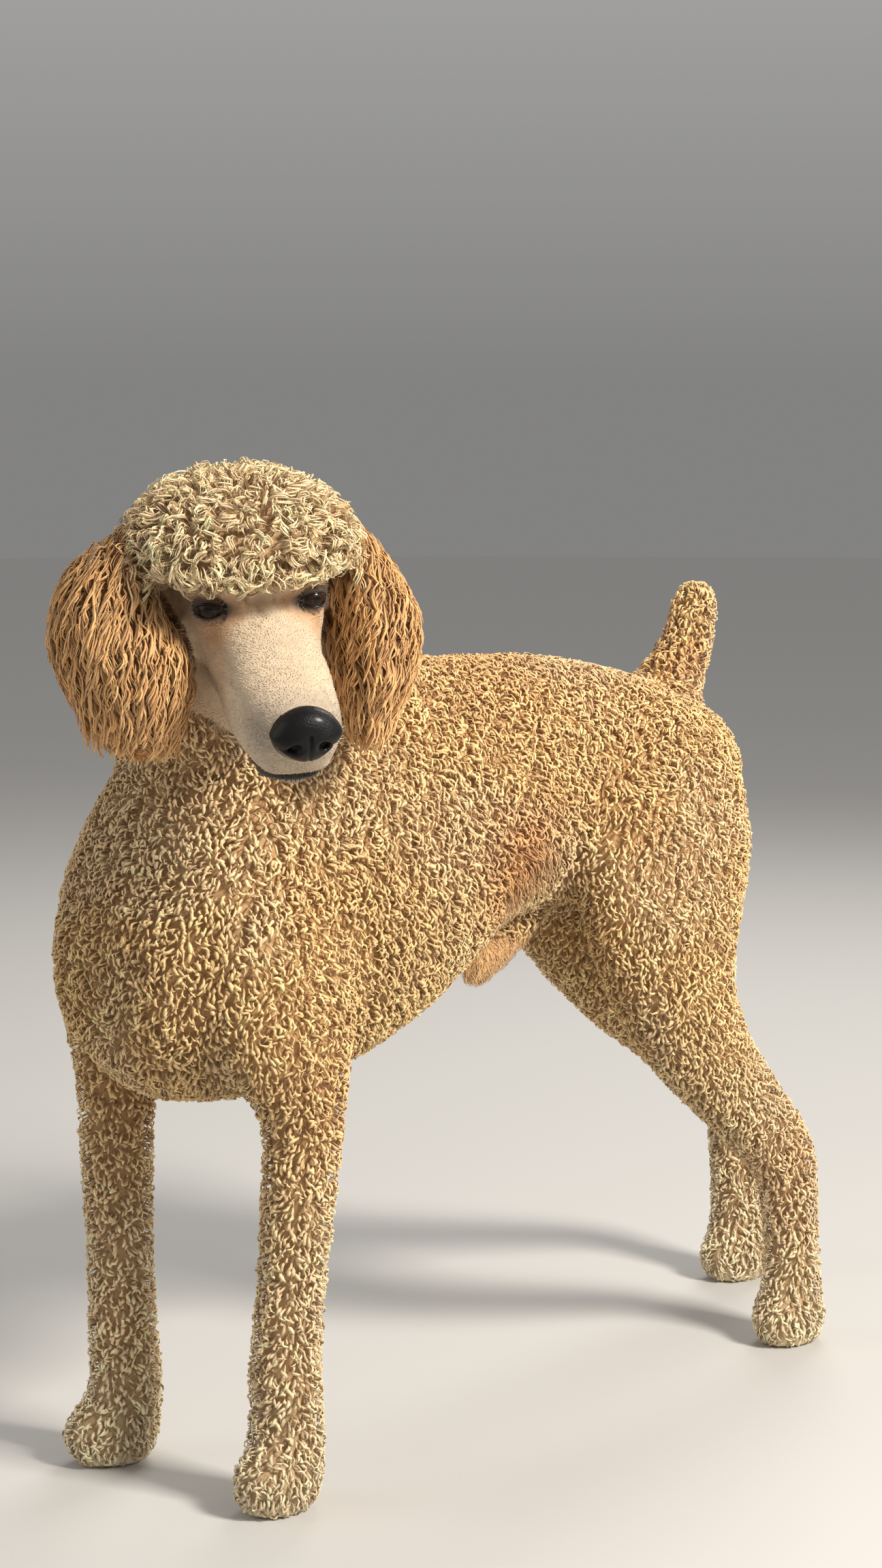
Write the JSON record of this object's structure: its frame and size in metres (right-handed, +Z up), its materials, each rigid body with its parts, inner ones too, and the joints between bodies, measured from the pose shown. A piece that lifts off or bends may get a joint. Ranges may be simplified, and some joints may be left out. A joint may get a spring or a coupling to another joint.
{
  "type": "standard poodle figure",
  "caption": "Life-size standing standard poodle in an apricot clip, head turned to its left, full topknot and drop ears, clipped face, short upright tail.",
  "frame": {"origin": "on the floor under the middle of the object's bounding box, level with the soles", "axes": "+Z up, -Y the way the body faces, +X the dog's left side; the head looks towards +X and -Y"},
  "size_m": [0.3842, 0.9794, 0.7969],
  "materials": {
    "coat": "dense curly apricot hair, matte",
    "clipped_face": "short clipped cream hair under a curly topknot, matte",
    "ear_coat": "long wavy orange-tan hair, soft sheen",
    "nose_leather": "black, moist",
    "eye_brown": "dark brown, wet gloss, opaque"
  },
  "bodies": {
    "root": {"trunk": "coat", "neck": "coat", "tail": "coat", "leg_front_left": "coat", "leg_front_right": "coat", "leg_hind_left": "coat", "leg_hind_right": "coat", "head": "clipped_face", "ear_left": "ear_coat", "ear_right": "ear_coat", "nose": "nose_leather", "eye_left": "eye_brown", "eye_right": "eye_brown"}
  },
  "joints": []
}
